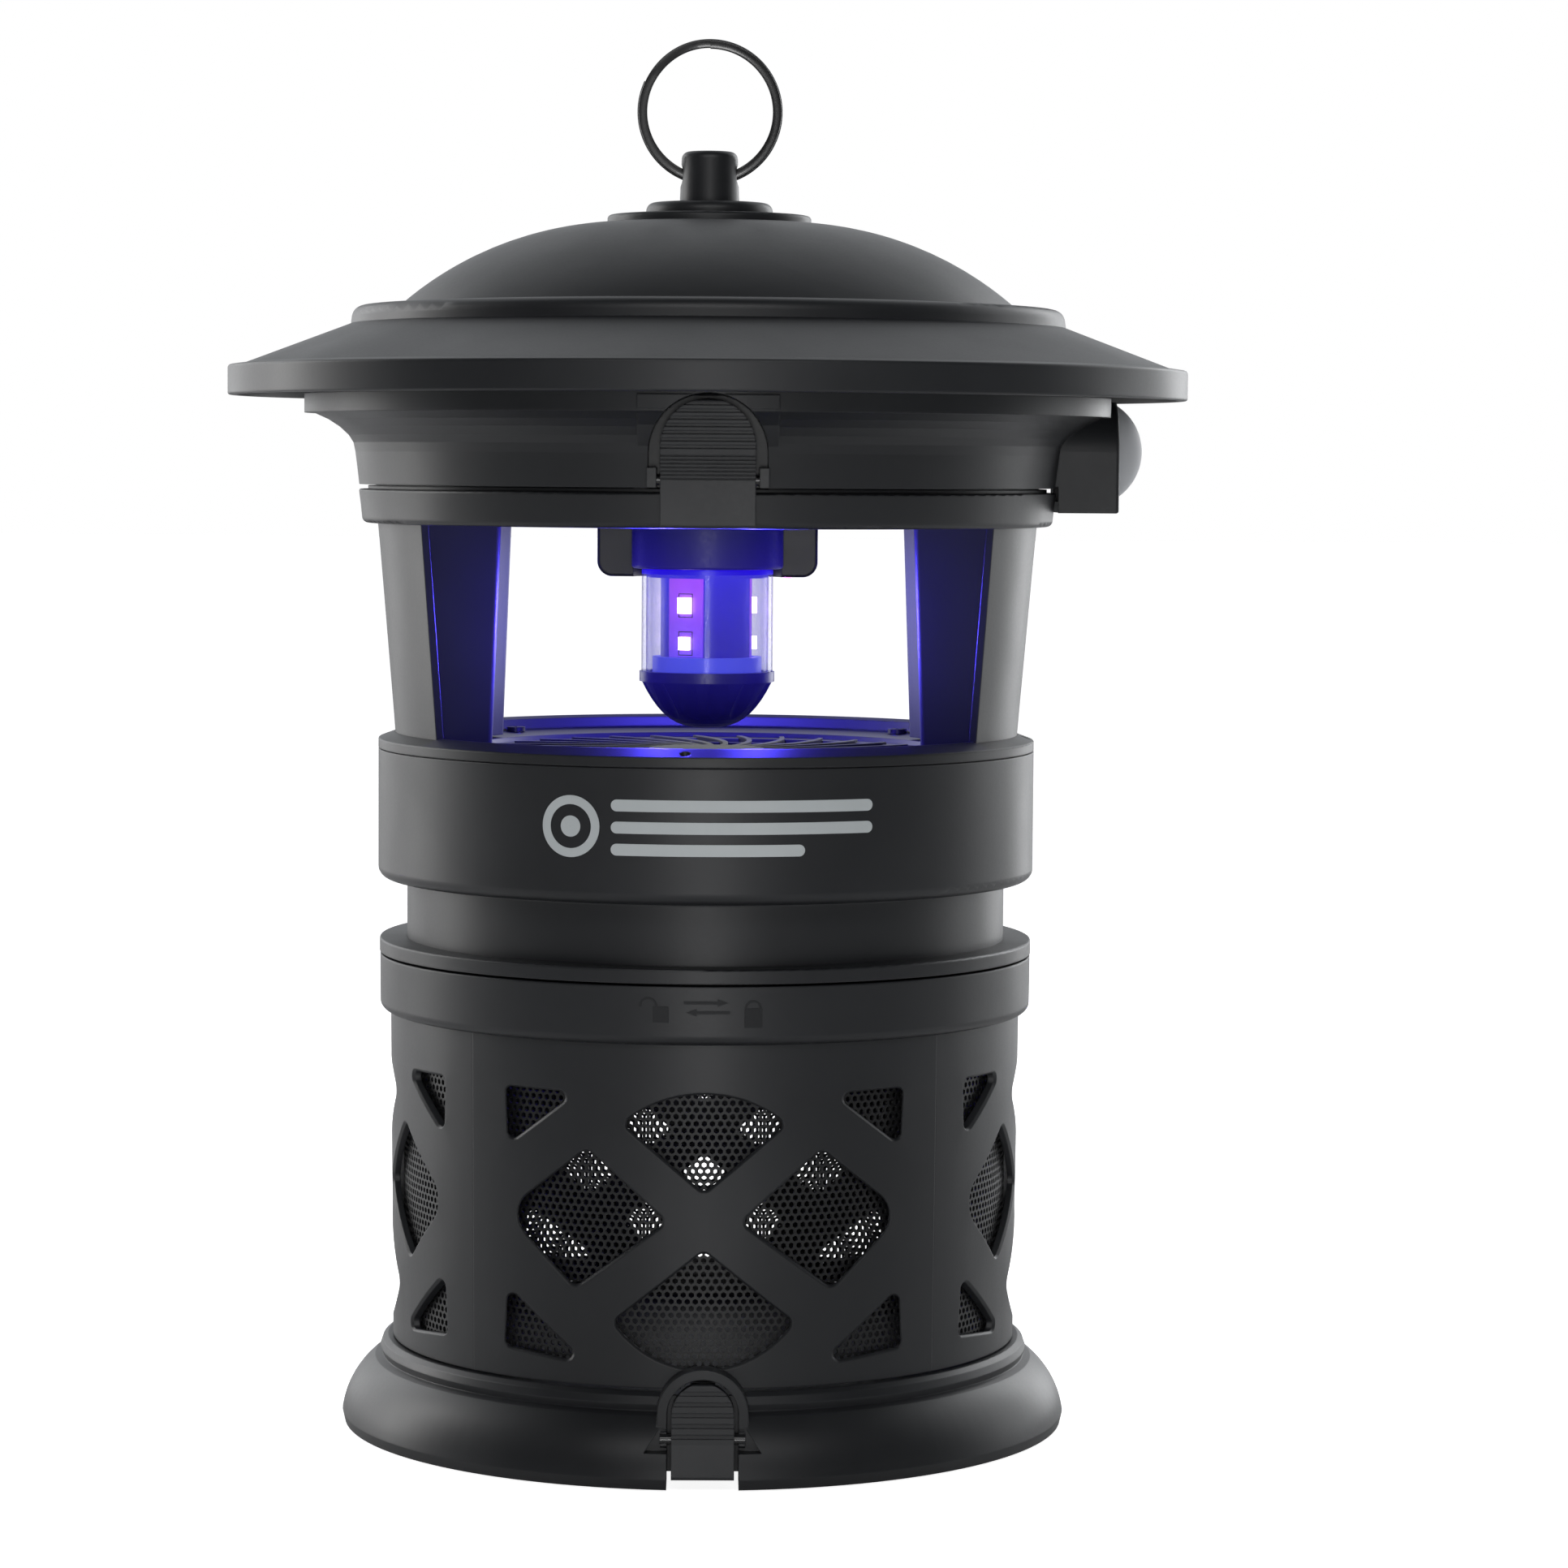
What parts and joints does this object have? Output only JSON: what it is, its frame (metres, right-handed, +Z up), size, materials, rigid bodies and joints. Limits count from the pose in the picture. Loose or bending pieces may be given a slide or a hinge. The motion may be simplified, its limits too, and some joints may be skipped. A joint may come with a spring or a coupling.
{
  "type": "electric insect trap",
  "caption": "Lantern-shaped ultraviolet fan insect trap with a domed roof, a caged lamp, a latticed catch basket with a hinged base, latches and a hanging ring.",
  "frame": {"origin": "centre of the base, on the ground", "axes": "+Z up; the front with both latches faces -Y; the power button is on +X"},
  "size_m": [0.248, 0.248, 0.3588],
  "materials": {
    "black_plastic": "fine-grained black moulding",
    "latch_plastic": "fine-grained black moulding",
    "rotor_plastic": "smooth black moulding",
    "mesh_plastic": "perforated black moulding",
    "cap_plastic": "satin black moulding",
    "button_rubber": "pale grey, matte",
    "black_wire": "black coated spring wire",
    "steel": "zinc-plated steel",
    "motor_case": "plated steel can",
    "contact_brass": "plain contact strip",
    "board_green": "circuit board lacquer",
    "board_black": "moulded component cases",
    "lead_cover": "soft black cable cover",
    "lens_red": "lit red lens",
    "led_violet": "lit violet light chips",
    "clear": "clear tube"
  },
  "bodies": {
    "trap_body": {"cage_frame": "black_plastic", "intake_plate": "black_plastic", "intake_screws": "steel", "intake_grille": "black_plastic", "fan_housing": "black_plastic", "neck_flange": "black_plastic", "fan_frame": "black_plastic", "fan_motor": "motor_case", "fan_lead": "lead_cover", "lead_socket": "board_black"},
    "lid": {"roof": "black_plastic", "finial": "black_plastic", "finial_nut": "steel", "finial_washer": "steel", "upper_housing": "black_plastic", "power_inlet": "board_black", "lid_hinge_pin": "steel", "ceiling_plate": "black_plastic", "ceiling_screws": "steel", "roof_screws": "steel", "lid_contact": "contact_brass", "driver_board": "board_green", "board_parts": "board_black", "board_screws": "steel", "switch_body": "board_black", "top_latch_pin": "steel", "top_latch_spring": "steel", "lamp_bracket": "black_plastic", "indicator_lens": "lens_red", "lamp_socket": "black_plastic"},
    "hanging_ring": {"hanging_ring": "black_wire"},
    "power_button": {"power_button": "button_rubber"},
    "top_latch": {"top_latch_lever": "latch_plastic"},
    "lamp": {"lamp_base": "black_plastic", "clear_tube": "clear", "led_carrier": "cap_plastic", "led_strips": "board_green", "leds": "led_violet", "lamp_collar": "black_plastic", "lamp_cap": "cap_plastic"},
    "fan": {"motor_shaft": "steel", "fan_rotor": "rotor_plastic"},
    "basket": {"basket_collar": "black_plastic", "lattice_front": "black_plastic", "lattice_right": "black_plastic", "lattice_rear": "black_plastic", "lattice_left": "black_plastic", "mesh_basket": "mesh_plastic", "basket_knuckle": "black_plastic"},
    "base_door": {"base_skirt": "black_plastic", "base_floor": "black_plastic", "base_hinge_pin": "steel", "base_latch_pin": "steel"},
    "base_latch": {"base_latch_lever": "latch_plastic"}
  },
  "joints": [
    {"name": "lid_hinge", "type": "hinge", "parent": "trap_body", "child": "lid", "pos_m": [0, 0.0958, 0.2431], "axis": [-1, 0, 0], "range_deg": [0, 95]},
    {"name": "hanging_ring_pivot", "type": "hinge", "parent": "lid", "child": "hanging_ring", "pos_m": [0, 0, 0.32385], "axis": [1, 0, 0], "range_deg": [-100, 100]},
    {"name": "power_button_press", "type": "slide", "parent": "lid", "child": "power_button", "axis": [-1, 0, 0], "range_m": [0, 0.0022], "stiffness_N_per_m": 900, "springref_m": -0.0005},
    {"name": "top_latch_pivot", "type": "hinge", "parent": "lid", "child": "top_latch", "pos_m": [0, -0.0906, 0.2456], "axis": [-1, 0, 0], "range_deg": [0, 12], "stiffness_Nm_per_rad": 0.05, "springref_deg": -2.86},
    {"name": "lamp_turn", "type": "hinge", "parent": "lid", "child": "lamp", "pos_m": [0, 0, 0.21], "axis": [0, 0, 1], "range_deg": [0, 90]},
    {"name": "fan_spin", "type": "hinge", "parent": "trap_body", "child": "fan", "pos_m": [0, 0, 0.16], "axis": [0, 0, 1], "continuous": true},
    {"name": "basket_turn", "type": "hinge", "parent": "trap_body", "child": "basket", "pos_m": [0, 0, 0.115], "axis": [0, 0, 1], "range_deg": [0, 18]},
    {"name": "base_door_hinge", "type": "hinge", "parent": "basket", "child": "base_door", "pos_m": [0, 0.0924, 0.0219], "axis": [1, 0, 0], "range_deg": [0, 85]},
    {"name": "base_latch_pivot", "type": "hinge", "parent": "base_door", "child": "base_latch", "pos_m": [0, -0.0896, 0.0117], "axis": [1, 0, 0], "range_deg": [0, 9], "stiffness_Nm_per_rad": 0.05, "springref_deg": -2.86}
  ]
}
